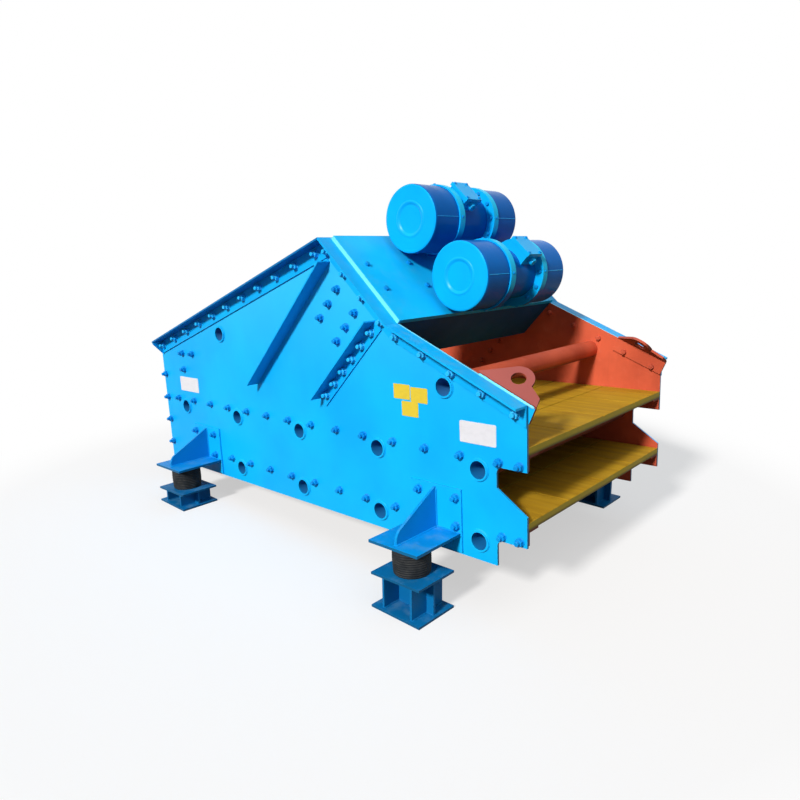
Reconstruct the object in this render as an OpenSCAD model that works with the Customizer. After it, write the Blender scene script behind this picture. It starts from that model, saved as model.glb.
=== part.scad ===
// Double-deck linear vibrating screen on four rubber springs and pedestals.
// X runs toward the discharge end, Z is up, and the floor is at Z = 0.

/* [Screen box] */
// Width over the outer faces of the side plates
box_width = 1250; // [1000:10:1600]
// Thickness of the side plates
plate_t = 10; // [8:1:16]
// Rise of the decks toward the discharge end, in degrees
deck_rise = 2.28; // [0:0.02:4]
// Feed edge of the side plates, from the middle of the feet
feed_edge = 1340; // [1280:10:1500]
// Discharge edge of the side plates, from the middle of the feet
end_edge = 1321; // [1290:1:1400]
// Height of the side plates' bottom edge
bottom_z = 176; // [150:1:190]
// Height of the top edge at the feed end
feed_top_z = 943; // [880:1:1050]
// Position of the peak, where the motor plate's edge starts
peak_x = 319; // [260:1:380]
// Height of the peak
peak_z = 1482; // [1420:1:1540]
// Slope of the motor plate, in degrees
throw_angle = 44; // [40:0.5:48]
// Height of the top edge at the discharge end
end_top_z = 836; // [790:1:880]

/* [Discharge end] */
// Plate left between the last cross tubes and the notches
notch_wall = 38; // [26:1:80]
// Underside of the upper lip
upper_lip_z = 581; // [566:1:600]
// Height where the upper notch starts to slope out
notch_low_z = 496; // [470:1:520]
// Top of the lower lip
lower_lip_top_z = 406; // [396:1:440]
// Underside of the lower lip
lower_lip_z = 283; // [270:1:288]
// Radius in the notch corners
notch_r = 25; // [10:1:35]

/* [Edge angles and stiffeners] */
// Leg of the edge angles
angle_leg = 75; // [60:1:90]
// Thickness of the edge angles
angle_t = 8; // [5:1:10]
// Standing leg of the diagonal stiffeners
stiff_out = 72; // [50:1:85]
// Bolted leg of the diagonal stiffeners
stiff_leg = 56; // [40:1:66]
// Thickness of the diagonal stiffeners
stiff_t = 7; // [5:1:10]
// Slope of the diagonal stiffeners, in degrees
stiff_angle = 44; // [40:0.5:48]
// Length of the long stiffeners
long_stiff_len = 880; // [700:1:900]
// Length of the short stiffeners
short_stiff_len = 540; // [400:1:580]
// Upper end of the short stiffeners, back from the end of the motor plate's edge
short_stiff_back = 101; // [80:1:140]

/* [Cross tubes] */
// Outer diameter of the cross tubes
tube_d = 89; // [76:1:100]
// Wall of the cross tubes
tube_wall = 8; // [6:0.5:14]
// Distance between cross tubes
tube_pitch = 550; // [545:1:562]
// Height of the upper row of cross tubes
upper_tube_z = 555; // [540:1:565]
// Height of the lower row of cross tubes
lower_tube_z = 259; // [250:1:266]
// How far the tube ends stand out of the side plates
tube_proud = 8; // [2:1:14]
// Distance of the head tube from the discharge edge
head_tube_back = 379; // [330:1:420]
// Gap between the head tube and the edge angle over it
head_tube_gap = 10; // [4:1:60]
// Distance of the feed tube from the feed edge
feed_tube_back = 690; // [600:1:760]
// Depth of the feed tube's centre under the feed slope
feed_tube_drop = 151; // [146:1:200]

/* [Decks] */
// Top of the upper deck
upper_deck_z = 674; // [660:1:700]
// Top of the lower deck
lower_deck_z = 381; // [370:1:394]
// Thickness of the deck panels
deck_t = 30; // [20:1:36]
// Deck panels across the screen
panels_across = 4; // [3:1:5]
// Deck panels along the screen
panels_along = 9; // [6:1:12]
// Width of the joints between deck panels
joint_w = 5; // [3:0.5:8]
// Depth of the joints between deck panels
joint_d = 6; // [3:0.5:10]
// Width of the stringers under the decks
stringer_w = 50; // [30:1:80]
// How far the stringers stop behind the discharge edge
stringer_back = 100; // [60:1:160]
// Width of the rails that carry the edges of the decks
rail_w = 70; // [50:1:90]
// Height of those rails
rail_h = 60; // [50:1:68]

/* [Feed wall] */
// Thickness of the feed end wall
wall_t = 8; // [5:1:12]
// Underside of the feed end wall
wall_low_z = 250; // [210:1:270]
// Top of the feed end wall
wall_top_z = 810; // [740:1:860]
// Width of the bolted flanges of that wall
wall_flange = 50; // [40:1:70]

/* [Lifting lugs] */
// Thickness of the bent lug plates
lug_t = 12; // [8:1:16]
// Lean of the lug toward the middle, in degrees
lug_lean = 58; // [40:1:66]
// Where the lug starts, from the discharge edge
lug_back = 221; // [200:1:260]
// Length of the lug's bolted strip
lug_strip_len = 272; // [250:1:300]
// Depth of the lug's bolted strip
lug_strip_h = 66; // [56:1:100]
// Radius of the lug's head
lug_r = 60; // [50:1:66]
// Height of the head's centre up the lug
lug_head_h = 62; // [55:1:80]
// Diameter of the lug's hole
lug_hole_d = 58; // [40:1:70]

/* [Exciter] */
// Thickness of the inclined motor plate
motor_plate_t = 20; // [16:1:30]
// How far the motor plate starts below the peak
motor_plate_start = 12; // [0:1:30]
// Depth of the beam under the motor plate
beam_depth = 240; // [180:1:280]
// Plate thickness of that beam
beam_t = 12; // [8:1:20]
// Height of the motor shafts over the motor plate
shaft_h = 172; // [170:1:200]
// First shaft, down the slope from the peak
shaft_1 = 100; // [80:1:110]
// Distance between the two shafts
shaft_gap = 375; // [350:1:400]
// Overall length of a motor
motor_len = 640; // [600:1:720]
// Diameter of the motor end covers
cover_d = 306; // [280:1:312]
// Length of a motor end cover
cover_len = 168; // [140:1:180]
// Diameter of the raised ring in a cover's face
cover_ring_d = 148; // [100:1:200]
// Diameter of the motor's end flanges
flange_d = 320; // [312:1:336]
// Thickness of the motor's end flanges
flange_t = 36; // [14:1:44]
// Diameter of the motor's middle body
body_d = 236; // [200:1:260]
// Width of the motor's feet along the slope
motor_foot_w = 118; // [100:1:136]
// Thickness of the motor's feet
motor_foot_t = 28; // [18:1:36]
// Height of the terminal boxes over the shaft
terminal_h = 172; // [164:1:200]
// Distance of the terminal boxes from the middle of their motors
terminal_off = 45; // [0:1:50]

/* [Springs and pedestals] */
// Distance of the springs from the middle, along the screen
spring_x = 885; // [820:1:905]
// Distance of the springs from the side plates
spring_out = 168; // [150:1:200]
// Diameter of the rubber springs
spring_d = 162; // [140:1:180]
// Height of the rubber springs
spring_h = 130; // [110:1:150]
// Rings round a rubber spring
spring_rings = 9; // [5:1:12]
// Depth of the grooves between those rings
spring_groove = 2; // [1:0.5:4]
// Top of the spring seats
seat_z = 270; // [262:1:278]
// Thickness of the spring seats
seat_t = 12; // [8:1:16]
// Width of the spring brackets along the screen
bracket_w = 270; // [220:1:280]
// Height of the plate that a bracket bolts on with
bracket_h = 268; // [240:1:300]
// Thickness of the gusset on a spring seat
gusset_t = 12; // [8:1:16]
// Height of that gusset over the spring seat
gusset_h = 176; // [140:1:180]
// Height of that gusset's upright outer edge over the spring seat
gusset_toe_h = 46; // [40:1:70]
// Radius where the gusset's outer edge turns
gusset_r = 55; // [20:1:60]
// Length of the pedestal plates
foot_len = 260; // [230:1:300]
// Width of the pedestal plates
foot_w = 218; // [190:1:240]
// Thickness of the pedestal plates
foot_t = 10; // [6:1:14]
// Thickness of the pedestal webs
web_t = 10; // [6:1:14]
// Distance between the cross webs of a pedestal
web_gap = 150; // [110:1:180]

/* [Hidden] */
// Curves with more than twelve sides are true circles
$fn = 48;
// Gap left between plates that bear on each other
seam = 0.2;
// Gap round a tube in its hole
tube_fit = 0.3;
// Reach of a cut past the face that it opens
past = 20;
half_w = box_width / 2;
inner_w = half_w - plate_t;
feed_slope = atan((peak_z - feed_top_z) / (feed_edge + peak_x));
// The motor plate's edge ends where the lower motor's feet end
throw_len = shaft_1 + shaft_gap + motor_foot_w / 2;
kink_x = peak_x + throw_len * cos(throw_angle);
kink_z = peak_z - throw_len * sin(throw_angle);
end_slope = atan((kink_z - end_top_z) / (end_edge - kink_x));
tube_r = tube_d / 2;
tube_count = 5;
middle_tube_x = 4;
notch_x = tube_x(tube_count - 1) + tube_r + tube_fit + notch_wall;
head_tube_x = end_edge - head_tube_back;
head_tube_over = angle_leg / cos(end_slope) + head_tube_gap;
head_tube_z = end_top_z + head_tube_back * tan(end_slope) - head_tube_over - tube_r;
feed_tube_x = feed_tube_back - feed_edge;
feed_tube_z = feed_top_z + feed_tube_back * tan(feed_slope) - feed_tube_drop;
// The feed angle starts a little in from the plate's corner
angle_start = 26;
rail_start = -feed_edge + wall_t + wall_flange + 10;
// How far the bent part of a lug reaches down into its strip
lug_root = 4;
lug_x = end_edge - lug_back;
lug_z = end_top_z + lug_back * tan(end_slope);
lug_head = [138, lug_head_h];
lug_rise = lug_t * sin(lug_lean) - lug_root * cos(lug_lean);
lug_tip_x = lug_x + lug_strip_len * cos(end_slope) + lug_rise * sin(end_slope);
lug_tip_z = lug_z - lug_strip_len * sin(end_slope) + lug_rise * cos(end_slope);
body_len = motor_len - 2 * cover_len;
spring_y = half_w + spring_out;
seat_under = seat_z - seat_t;
pad_z = seat_under - spring_h;
// The seats reach a little past the pedestals
seat_reach = spring_out + foot_w / 2 + 4;
// The frame stands at the middle of the whole part
low_x = -feed_edge * cos(deck_rise) - feed_top_z * sin(deck_rise);
high_x = lug_tip_x * cos(deck_rise) - lug_tip_z * sin(deck_rise);
shift_x = -(low_x + high_x) / 2;
blue = [0.10, 0.60, 0.92];
oxide = [0.80, 0.27, 0.16];
ochre = [0.72, 0.55, 0.10];
rubber = [0.18, 0.18, 0.18];

// Places what is drawn in the screen box's own frame
module in_box() {
    translate([shift_x, 0, 0])
        rotate([0, -deck_rise, 0])
            children();
}

// Draws a shape of the box's X and Z axes with its outer face toward the right side
module slab(outer, thick) {
    translate([0, -outer + thick, 0])
        rotate([90, 0, 0])
            linear_extrude(height = thick)
                children();
}

// Draws its child on the left side
module other_side() {
    mirror([0, 1, 0])
        children();
}

// Draws its child on both sides of the screen
module both_sides() {
    children();
    other_side()
        children();
}

// Cylinder across the screen
module across(x, z, d, len) {
    translate([x, 0, z])
        rotate([90, 0, 0])
            cylinder(h = len, d = d, center = true);
}

// Frame of the motor plate: X down the slope from the peak, Z square to the plate
module on_throw() {
    translate([peak_x, 0, peak_z])
        rotate([0, throw_angle, 0])
            children();
}

// Frame of the discharge slope: X down the slope from the lug's start, Z square to it
module on_end_slope() {
    translate([lug_x, 0, lug_z])
        rotate([0, end_slope, 0])
            children();
}

function tube_x(k) = middle_tube_x + tube_pitch * (k - (tube_count - 1) / 2);

// Round hole in the side plate's outline
module plate_hole(x, z, d) {
    translate([x, z])
        circle(d = d);
}

// Notch from the discharge edge, with a round upper corner
module notch(low_inner, low_outer, top) {
    polygon([
        [notch_x, low_inner], [notch_x, top - notch_r], [notch_x + notch_r, top],
        [end_edge + past, top], [end_edge + past, low_outer]
    ]);
    plate_hole(notch_x + notch_r, top - notch_r, 2 * notch_r);
}

module plate_outline() {
    lip_fall = past * (notch_low_z - lower_lip_top_z) / (end_edge - notch_x);
    difference() {
        polygon([
            [-feed_edge, bottom_z], [end_edge, bottom_z], [end_edge, end_top_z],
            [kink_x, kink_z], [peak_x, peak_z], [-feed_edge, feed_top_z]
        ]);
        notch(bottom_z - past, bottom_z - past, lower_lip_z);
        notch(notch_low_z, lower_lip_top_z - lip_fall, upper_lip_z);
        for (k = [0:tube_count - 1], z = [upper_tube_z, lower_tube_z])
            plate_hole(tube_x(k), z, tube_d + 2 * tube_fit);
        plate_hole(head_tube_x, head_tube_z, tube_d + 2 * tube_fit);
        plate_hole(feed_tube_x, feed_tube_z, tube_d + 2 * tube_fit);
    }
}

module side_plate() {
    color(blue)
        slab(half_w, plate_t)
            plate_outline();
}

module side_plate_right() {
    in_box()
        side_plate();
}

module side_plate_left() {
    in_box()
        other_side()
            side_plate();
}

// Band of a given depth under the feed slope, with upright ends
module feed_band(depth) {
    start_x = angle_start - feed_edge;
    start_z = feed_top_z + angle_start * tan(feed_slope);
    stop_x = peak_x - seam;
    stop_z = peak_z - seam * tan(feed_slope);
    drop = depth / cos(feed_slope);
    polygon([[start_x, start_z], [stop_x, stop_z], [stop_x, stop_z - drop], [start_x, start_z - drop]]);
}

// Band of a given depth under the motor plate's edge and the discharge slope
module edge_band(depth) {
    mitre = depth / (1 + cos(throw_angle - end_slope));
    mitre_x = kink_x - mitre * (sin(throw_angle) + sin(end_slope));
    mitre_z = kink_z - mitre * (cos(throw_angle) + cos(end_slope));
    polygon([
        [peak_x, peak_z],
        [kink_x, kink_z],
        [end_edge, end_top_z],
        [end_edge, end_top_z - depth / cos(end_slope)],
        [mitre_x, mitre_z],
        [peak_x, peak_z - depth / cos(throw_angle)]
    ]);
}

// A standing leg flush with the edge and a bolted leg down the plate
module feed_edge_angles() {
    color(blue)
        in_box()
            both_sides() {
                slab(half_w + angle_leg, angle_leg)
                    feed_band(angle_t);
                slab(half_w + angle_t, angle_t)
                    feed_band(angle_leg);
            }
}

module discharge_edge_angles() {
    color(blue)
        in_box()
            both_sides() {
                slab(half_w + angle_leg, angle_leg)
                    edge_band(angle_t);
                slab(half_w + angle_t, angle_t)
                    edge_band(angle_leg);
            }
}

// Diagonal angle on a side plate, falling toward the feed end from its upper end
module diagonal_angle(top_x, top_z, length, side) {
    translate([top_x, -half_w, top_z])
        rotate([0, -stiff_angle, 0]) {
            translate([-length, -stiff_out, side > 0 ? 0 : -stiff_t])
                cube([length, stiff_out, stiff_t]);
            translate([-length, -stiff_t, side > 0 ? 0 : -stiff_leg])
                cube([length, stiff_t, stiff_leg]);
        }
}

// The upper end stops clear of both edge angles, and the bolted leg is cut along the feed angle
module long_stiffeners() {
    gap = 4;
    drop = angle_leg / cos(feed_slope) + 24;
    below = angle_leg + 8;
    run = sin(throw_angle) + tan(feed_slope) * cos(throw_angle);
    inset = (below - drop * cos(throw_angle)) / run;
    top_z = peak_z - inset * tan(feed_slope) - drop;
    color(blue)
        in_box()
            both_sides()
                difference() {
                    diagonal_angle(peak_x - inset, top_z, long_stiff_len, 1);
                    slab(half_w + stiff_t + 1, stiff_t + 2)
                        feed_band(angle_leg + gap);
                }
}

// The upper end stops under the motor plate's edge angle
module short_stiffeners() {
    along = throw_len - short_stiff_back;
    below = angle_leg + 6;
    top_x = peak_x + along * cos(throw_angle) - below * sin(throw_angle);
    top_z = peak_z - along * sin(throw_angle) - below * cos(throw_angle);
    color(blue)
        in_box()
            both_sides()
                diagonal_angle(top_x, top_z, short_stiff_len, -1);
}

// Point where a line from a corner touches a circle, on the left side of that line
function touch(corner, centre, r) =
    let (
        run = centre - corner,
        reach = norm(run),
        turn = atan2(run[1], run[0]) + asin(r / reach),
        length = sqrt(reach * reach - r * r)
    )
    corner + length * [cos(turn), sin(turn)];

// Bent part of a lug, laid flat: a straight flank, a round head and a toe
module lug_outline() {
    toe_w = 14;
    toe_h = 34;
    polygon([
        [0, -lug_root], [0, 0], touch([0, 0], lug_head, lug_r), lug_head, lug_head + [lug_r, 0],
        [lug_strip_len - toe_w, toe_h], [lug_strip_len, -lug_root]
    ]);
    translate(lug_head)
        circle(r = lug_r);
}

// Plate bolted inside the side plate and bent inward into a lug
module lug() {
    color(oxide)
        on_end_slope()
            translate([0, seam - inner_w, 0]) {
                translate([0, 0, -lug_strip_h])
                    cube([lug_strip_len, lug_t, lug_strip_h]);
                translate([0, lug_t, 0])
                    rotate([90 - lug_lean, 0, 0])
                        difference() {
                            linear_extrude(height = lug_t)
                                lug_outline();
                            translate([lug_head[0], lug_head[1], -1])
                                cylinder(h = lug_t + 2, d = lug_hole_d);
                        }
            }
}

module lifting_lug_right() {
    in_box()
        lug();
}

module lifting_lug_left() {
    in_box()
        other_side()
            lug();
}

// Tube through both side plates, open at both ends
module cross_tube(x, z) {
    length = box_width + 2 * tube_proud;
    difference() {
        across(x, z, tube_d, length);
        across(x, z, tube_d - 2 * tube_wall, length + past);
    }
}

module tube_row(z) {
    color(oxide)
        in_box()
            for (k = [0:tube_count - 1])
                cross_tube(tube_x(k), z);
}

module head_tube() {
    color(oxide)
        in_box()
            cross_tube(head_tube_x, head_tube_z);
}

module feed_tube() {
    color(oxide)
        in_box()
            cross_tube(feed_tube_x, feed_tube_z);
}

module upper_cross_tubes() {
    tube_row(upper_tube_z);
}

module lower_cross_tubes() {
    tube_row(lower_tube_z);
}

// Angle inside a side plate that carries the deck's edge, cut clear of the tubes
module deck_rail(top_z, row_z) {
    tube_clear = 2;
    length = end_edge - rail_start;
    difference() {
        union() {
            translate([rail_start, -inner_w, top_z - angle_t])
                cube([length, rail_w, angle_t]);
            translate([rail_start, -inner_w, top_z - rail_h])
                cube([length, angle_t, rail_h]);
        }
        for (k = [0:tube_count - 1])
            translate([0, -inner_w, 0])
                across(tube_x(k), row_z, tube_d + 2 * tube_clear, 2 * rail_w + past);
    }
}

module upper_deck_rails() {
    color(oxide)
        in_box()
            both_sides()
                deck_rail(upper_deck_z - deck_t, upper_tube_z);
}

module lower_deck_rails() {
    color(oxide)
        in_box()
            both_sides()
                deck_rail(lower_deck_z - deck_t, lower_tube_z);
}

// Bars along the screen, saddled on the tubes and reaching up to the deck
module stringers(top_z, row_z) {
    saddle = 6;
    base_z = row_z + tube_r - saddle;
    color(oxide)
        in_box()
            for (side = [-1:1])
                translate([0, side * inner_w / 2, 0])
                    difference() {
                        translate([rail_start, -stringer_w / 2, base_z])
                            cube([end_edge - stringer_back - rail_start, stringer_w, top_z - base_z]);
                        for (k = [0:tube_count - 1])
                            across(tube_x(k), row_z, tube_d, stringer_w + past);
                    }
}

module upper_deck_stringers() {
    stringers(upper_deck_z - deck_t, upper_tube_z);
}

module lower_deck_stringers() {
    stringers(lower_deck_z - deck_t, lower_tube_z);
}

// Space that a deck takes up
module deck_space(top_z) {
    translate([wall_t - feed_edge, -inner_w, top_z - deck_t])
        cube([feed_edge + end_edge - wall_t, 2 * inner_w, deck_t]);
}

// Deck of panels, laid side by side with narrow joints in the top face
module deck(top_z) {
    length = feed_edge + end_edge - wall_t;
    panel_l = length / panels_along;
    panel_w = 2 * inner_w / panels_across;
    joint_z = top_z - joint_d;
    color(ochre)
        in_box()
            difference() {
                deck_space(top_z);
                for (k = [1:panels_across - 1])
                    translate([wall_t - feed_edge - past, k * panel_w - inner_w - joint_w / 2, joint_z])
                        cube([length + 2 * past, joint_w, joint_d + past]);
                for (k = [1:panels_along - 1])
                    translate([wall_t - feed_edge + k * panel_l - joint_w / 2, -inner_w - past, joint_z])
                        cube([joint_w, 2 * inner_w + 2 * past, joint_d + past]);
            }
}

module upper_deck() {
    deck(upper_deck_z);
}

module lower_deck() {
    deck(lower_deck_z);
}

// Wall across the feed end with a bolted flange at each side, open where the decks pass
module feed_wall() {
    height = wall_top_z - wall_low_z;
    color(oxide)
        in_box()
            difference() {
                union() {
                    translate([-feed_edge, -inner_w, wall_low_z])
                        cube([wall_t, 2 * inner_w, height]);
                    both_sides()
                        translate([-feed_edge, -inner_w, wall_low_z])
                            cube([wall_t + wall_flange, wall_t, height]);
                }
                deck_space(upper_deck_z);
                deck_space(lower_deck_z);
            }
}

module motor_plate() {
    color(blue)
        in_box()
            on_throw()
                translate([motor_plate_start, -half_w, seam])
                    cube([throw_len - motor_plate_start, box_width, motor_plate_t - seam]);
}

// Channel beam between the side plates: two webs and a bottom plate under the motor plate
module motor_beam() {
    width = 2 * (inner_w - seam);
    color(blue)
        in_box()
            on_throw()
                difference() {
                    translate([0, -width / 2, -beam_depth])
                        cube([throw_len, width, beam_depth]);
                    translate([beam_t, -width / 2 - past, beam_t - beam_depth])
                        cube([throw_len - 2 * beam_t, width + 2 * past, beam_depth]);
                }
}

// Frame of one motor: Y along its shaft, Z square to the motor plate
module at_motor(along) {
    in_box()
        on_throw()
            translate([along, 0, motor_plate_t + shaft_h])
                children();
}

// Middle body with two end flanges, on a foot plate with two webs
module motor_body() {
    web = 32;
    overlap = 4;
    foot_len_y = body_len - 2 * flange_t + overlap;
    color(blue) {
        across(0, 0, body_d, body_len);
        for (side = [-1, 1])
            translate([0, side * (body_len - flange_t) / 2, 0])
                across(0, 0, flange_d, flange_t);
        translate([-motor_foot_w / 2, -foot_len_y / 2, -shaft_h])
            cube([motor_foot_w, foot_len_y, motor_foot_t]);
        for (side = [-1, 1])
            translate([0, side * (foot_len_y - web) / 2 + web / 2, 0])
                rotate([90, 0, 0])
                    linear_extrude(height = web)
                        polygon([
                            [-motor_foot_w / 2, -shaft_h], [motor_foot_w / 2, -shaft_h],
                            [motor_foot_w / 2, motor_foot_t - shaft_h], [body_d / 2.4, 0],
                            [-body_d / 2.4, 0], [-motor_foot_w / 2, motor_foot_t - shaft_h]
                        ]);
    }
}

module upper_motor_body() {
    at_motor(shaft_1)
        motor_body();
}

module lower_motor_body() {
    at_motor(shaft_1 + shaft_gap)
        motor_body();
}

// Round end cover with a soft rim and a dish inside the ring on its face
module motor_cover() {
    r = cover_d / 2;
    rim = 8;
    dish = 4;
    color(blue)
        translate([0, cover_len - motor_len / 2, 0])
            rotate([90, 0, 0])
                rotate_extrude()
                    polygon([
                        [0, 0], [r, 0], [r, cover_len - rim],
                        [r - 0.3 * rim, cover_len - 0.3 * rim], [r - rim, cover_len],
                        [cover_ring_d / 2, cover_len], [cover_ring_d / 2 - dish, cover_len - dish],
                        [0, cover_len - dish]
                    ]);
}

module upper_motor_covers() {
    at_motor(shaft_1)
        both_sides()
            motor_cover();
}

module lower_motor_covers() {
    at_motor(shaft_1 + shaft_gap)
        both_sides()
            motor_cover();
}

// Box with a wider lid and one gland boss, fitted to the round of the motor's body
module terminal_box(side) {
    width = 110;
    length = 100;
    lid_t = 16;
    lip = 6;
    base_z = body_d / 4;
    gland_d = 34;
    gland_len = 24;
    room = body_len / 2 - flange_t - length / 2 - lip - 4;
    color(blue)
        difference() {
            translate([0, side * min(terminal_off, room), 0]) {
                translate([-width / 2, -length / 2, base_z])
                    cube([width, length, terminal_h - lid_t - base_z]);
                translate([-width / 2 - lip, -length / 2 - lip, terminal_h - lid_t])
                    cube([width + 2 * lip, length + 2 * lip, lid_t]);
                translate([0, 0, body_d / 2 + gland_d / 2])
                    rotate([0, 90, 0])
                        cylinder(h = width / 2 + gland_len, d = gland_d);
            }
            across(0, 0, body_d, motor_len);
        }
}

// The two motors lie opposite ways round, and so do their boxes
module upper_terminal_box() {
    at_motor(shaft_1)
        terminal_box(-1);
}

module lower_terminal_box() {
    at_motor(shaft_1 + shaft_gap)
        terminal_box(1);
}

// Outline of a gusset: an upright outer edge that turns into a slope
module gusset_outline() {
    toe = seat_reach - 22;
    toe_z = seat_z + gusset_toe_h;
    top_z = seat_z + gusset_h;
    top_w = plate_t + 6;
    slope = atan((top_z - toe_z) / (toe - top_w));
    run = gusset_r * tan((90 - slope) / 2);
    turn = [for (k = [0:6]) 180 - k * (90 - slope) / 6];
    polygon(concat(
        [[0, seat_under], [-toe, seat_under]],
        [for (a = turn) [gusset_r - toe + gusset_r * cos(a), toe_z - run + gusset_r * sin(a)]],
        [[-top_w, top_z], [0, top_z]]
    ));
}

// Spring bracket: plate bolted to the side, seat over the spring and a gusset
module bracket(x) {
    color(blue)
        translate([x, -half_w, 0]) {
            translate([-bracket_w / 2, -plate_t, bottom_z + 12])
                cube([bracket_w, plate_t, bracket_h]);
            translate([-foot_len / 2, -seat_reach, seat_under])
                cube([foot_len, seat_reach, seat_t]);
            translate([-gusset_t / 2, 0, 0])
                rotate([90, 0, 90])
                    linear_extrude(height = gusset_t)
                        gusset_outline();
        }
}

module bracket_feed_right() {
    in_box()
        bracket(-spring_x);
}

module bracket_feed_left() {
    in_box()
        other_side()
            bracket(-spring_x);
}

module bracket_discharge_right() {
    in_box()
        bracket(spring_x);
}

module bracket_discharge_left() {
    in_box()
        other_side()
            bracket(spring_x);
}

// Rubber spring with rings round it, slightly fuller at the middle
module spring(x, y) {
    bulge = 4;
    steps = 2 * spring_rings;
    wall = [
        for (k = [0:steps])
            let (u = k / steps, groove = k % 2 == 0 ? spring_groove : 0)
            [spring_d / 2 - bulge * pow(2 * u - 1, 2) - groove, u * spring_h]
    ];
    color(rubber)
        in_box()
            translate([x, y, pad_z])
                rotate_extrude()
                    polygon(concat([[0, 0]], wall, [[0, spring_h]]));
}

module spring_feed_right() {
    spring(-spring_x, -spring_y);
}

module spring_feed_left() {
    spring(-spring_x, spring_y);
}

module spring_discharge_right() {
    spring(spring_x, -spring_y);
}

module spring_discharge_left() {
    spring(spring_x, spring_y);
}

// Pedestal: level base plate, crossed webs and a top plate square to the spring
module pedestal(x, y) {
    foot_x = shift_x + x * cos(deck_rise) - pad_z * sin(deck_rise);
    inset = 14;
    color(blue) {
        translate([foot_x - foot_len / 2, y - foot_w / 2, 0])
            cube([foot_len, foot_w, foot_t]);
        in_box()
            translate([x - foot_len / 2, y - foot_w / 2, pad_z - foot_t])
                cube([foot_len, foot_w, foot_t]);
        difference() {
            translate([foot_x, y, 0])
                linear_extrude(height = seat_z)
                    union() {
                        square([foot_len - 2 * inset, web_t], center = true);
                        for (side = [-1, 1])
                            translate([side * web_gap / 2, 0])
                                square([web_t, foot_w - 2 * inset], center = true);
                    }
            in_box()
                translate([x - foot_len, y - foot_w, pad_z - foot_t / 2])
                    cube([2 * foot_len, 2 * foot_w, seat_z]);
        }
    }
}

module pedestal_feed_right() {
    pedestal(-spring_x, -spring_y);
}

module pedestal_feed_left() {
    pedestal(-spring_x, spring_y);
}

module pedestal_discharge_right() {
    pedestal(spring_x, -spring_y);
}

module pedestal_discharge_left() {
    pedestal(spring_x, spring_y);
}

side_plate_right();
side_plate_left();
feed_edge_angles();
discharge_edge_angles();
long_stiffeners();
short_stiffeners();
lifting_lug_right();
lifting_lug_left();
head_tube();
feed_tube();
upper_cross_tubes();
lower_cross_tubes();
upper_deck_rails();
lower_deck_rails();
upper_deck_stringers();
lower_deck_stringers();
upper_deck();
lower_deck();
feed_wall();
motor_plate();
motor_beam();
upper_motor_body();
lower_motor_body();
upper_motor_covers();
lower_motor_covers();
upper_terminal_box();
lower_terminal_box();
bracket_feed_right();
bracket_feed_left();
bracket_discharge_right();
bracket_discharge_left();
spring_feed_right();
spring_feed_left();
spring_discharge_right();
spring_discharge_left();
pedestal_feed_right();
pedestal_feed_left();
pedestal_discharge_right();
pedestal_discharge_left();
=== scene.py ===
"""Looks of the vibrating screen: materials, bolts, welds, plates, springs, floor, light and camera."""
import math
import random

import bpy
from mathutils import Matrix, Vector


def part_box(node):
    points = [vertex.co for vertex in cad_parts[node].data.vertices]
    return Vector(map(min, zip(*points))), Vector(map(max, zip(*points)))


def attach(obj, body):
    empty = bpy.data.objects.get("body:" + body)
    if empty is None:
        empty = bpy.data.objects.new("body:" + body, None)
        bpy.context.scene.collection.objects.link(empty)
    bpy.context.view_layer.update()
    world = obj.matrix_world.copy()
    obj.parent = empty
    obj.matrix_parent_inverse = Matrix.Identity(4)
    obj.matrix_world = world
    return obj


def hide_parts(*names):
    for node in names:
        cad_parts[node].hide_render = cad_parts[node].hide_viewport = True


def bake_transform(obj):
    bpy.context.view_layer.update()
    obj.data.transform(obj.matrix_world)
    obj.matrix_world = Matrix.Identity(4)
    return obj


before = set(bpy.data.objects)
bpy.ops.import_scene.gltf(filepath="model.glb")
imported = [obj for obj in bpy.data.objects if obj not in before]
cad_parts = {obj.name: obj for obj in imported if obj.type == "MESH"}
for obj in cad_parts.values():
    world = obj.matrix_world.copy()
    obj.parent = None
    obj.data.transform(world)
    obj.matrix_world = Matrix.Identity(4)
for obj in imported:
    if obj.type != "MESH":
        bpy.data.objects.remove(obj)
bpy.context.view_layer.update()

# Sizes of the part in the frame of the screen box, in millimetres and degrees
SHIFT_X = 29.411
DECK_RISE = 2.28
HALF_W = 625.0
PLATE_T = 10.0
INNER_W = HALF_W - PLATE_T
FEED_EDGE = 1340.0
END_EDGE = 1321.0
FEED_TOP_Z = 943.0
END_TOP_Z = 836.0
PEAK_X = 319.0
PEAK_Z = 1482.0
THROW_ANGLE = 44.0
THROW_LEN = 534.0
ANGLE_LEG = 75.0
ANGLE_T = 8.0
STIFF_T = 7.0
STIFF_ANGLE = 44.0
TUBE_R = 44.5
TUBE_X = (-1096.0, -546.0, 4.0, 554.0, 1104.0)
UPPER_TUBE_Z = 555.0
LOWER_TUBE_Z = 259.0
TUBE_WALL = 8.0
HEAD_TUBE_X = 942.0
HEAD_TUBE_Z = 868.0
FEED_TUBE_X = -650.0
FEED_TUBE_DROP = 151.0
LUG_X = 1100.0
LUG_T = 12.0
LUG_LEN = 272.0
MOTOR_PLATE_T = 20.0
SHAFT_H = 172.0
SHAFTS = (100.0, 475.0)
MOTOR_LEN = 640.0
COVER_LEN = 168.0
COVER_R = 153.0
FLANGE_R = 160.0
FLANGE_T = 36.0
MOTOR_FOOT_T = 28.0
TERMINAL_H = 172.0
TERMINAL_OFF = (-45.0, 45.0)
SPRING_X = 885.0
SPRING_Y = 793.0
SPRING_R = 81.0
SPRING_H = 130.0
SEAT_Z = 270.0
SEAT_T = 12.0
SEAT_REACH = 281.0
GUSSET_T = 12.0
GUSSET_H = 176.0
FOOT_LEN = 260.0
FOOT_W = 218.0
FOOT_T = 10.0
WEB_T = 10.0
WEB_GAP = 150.0
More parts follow.
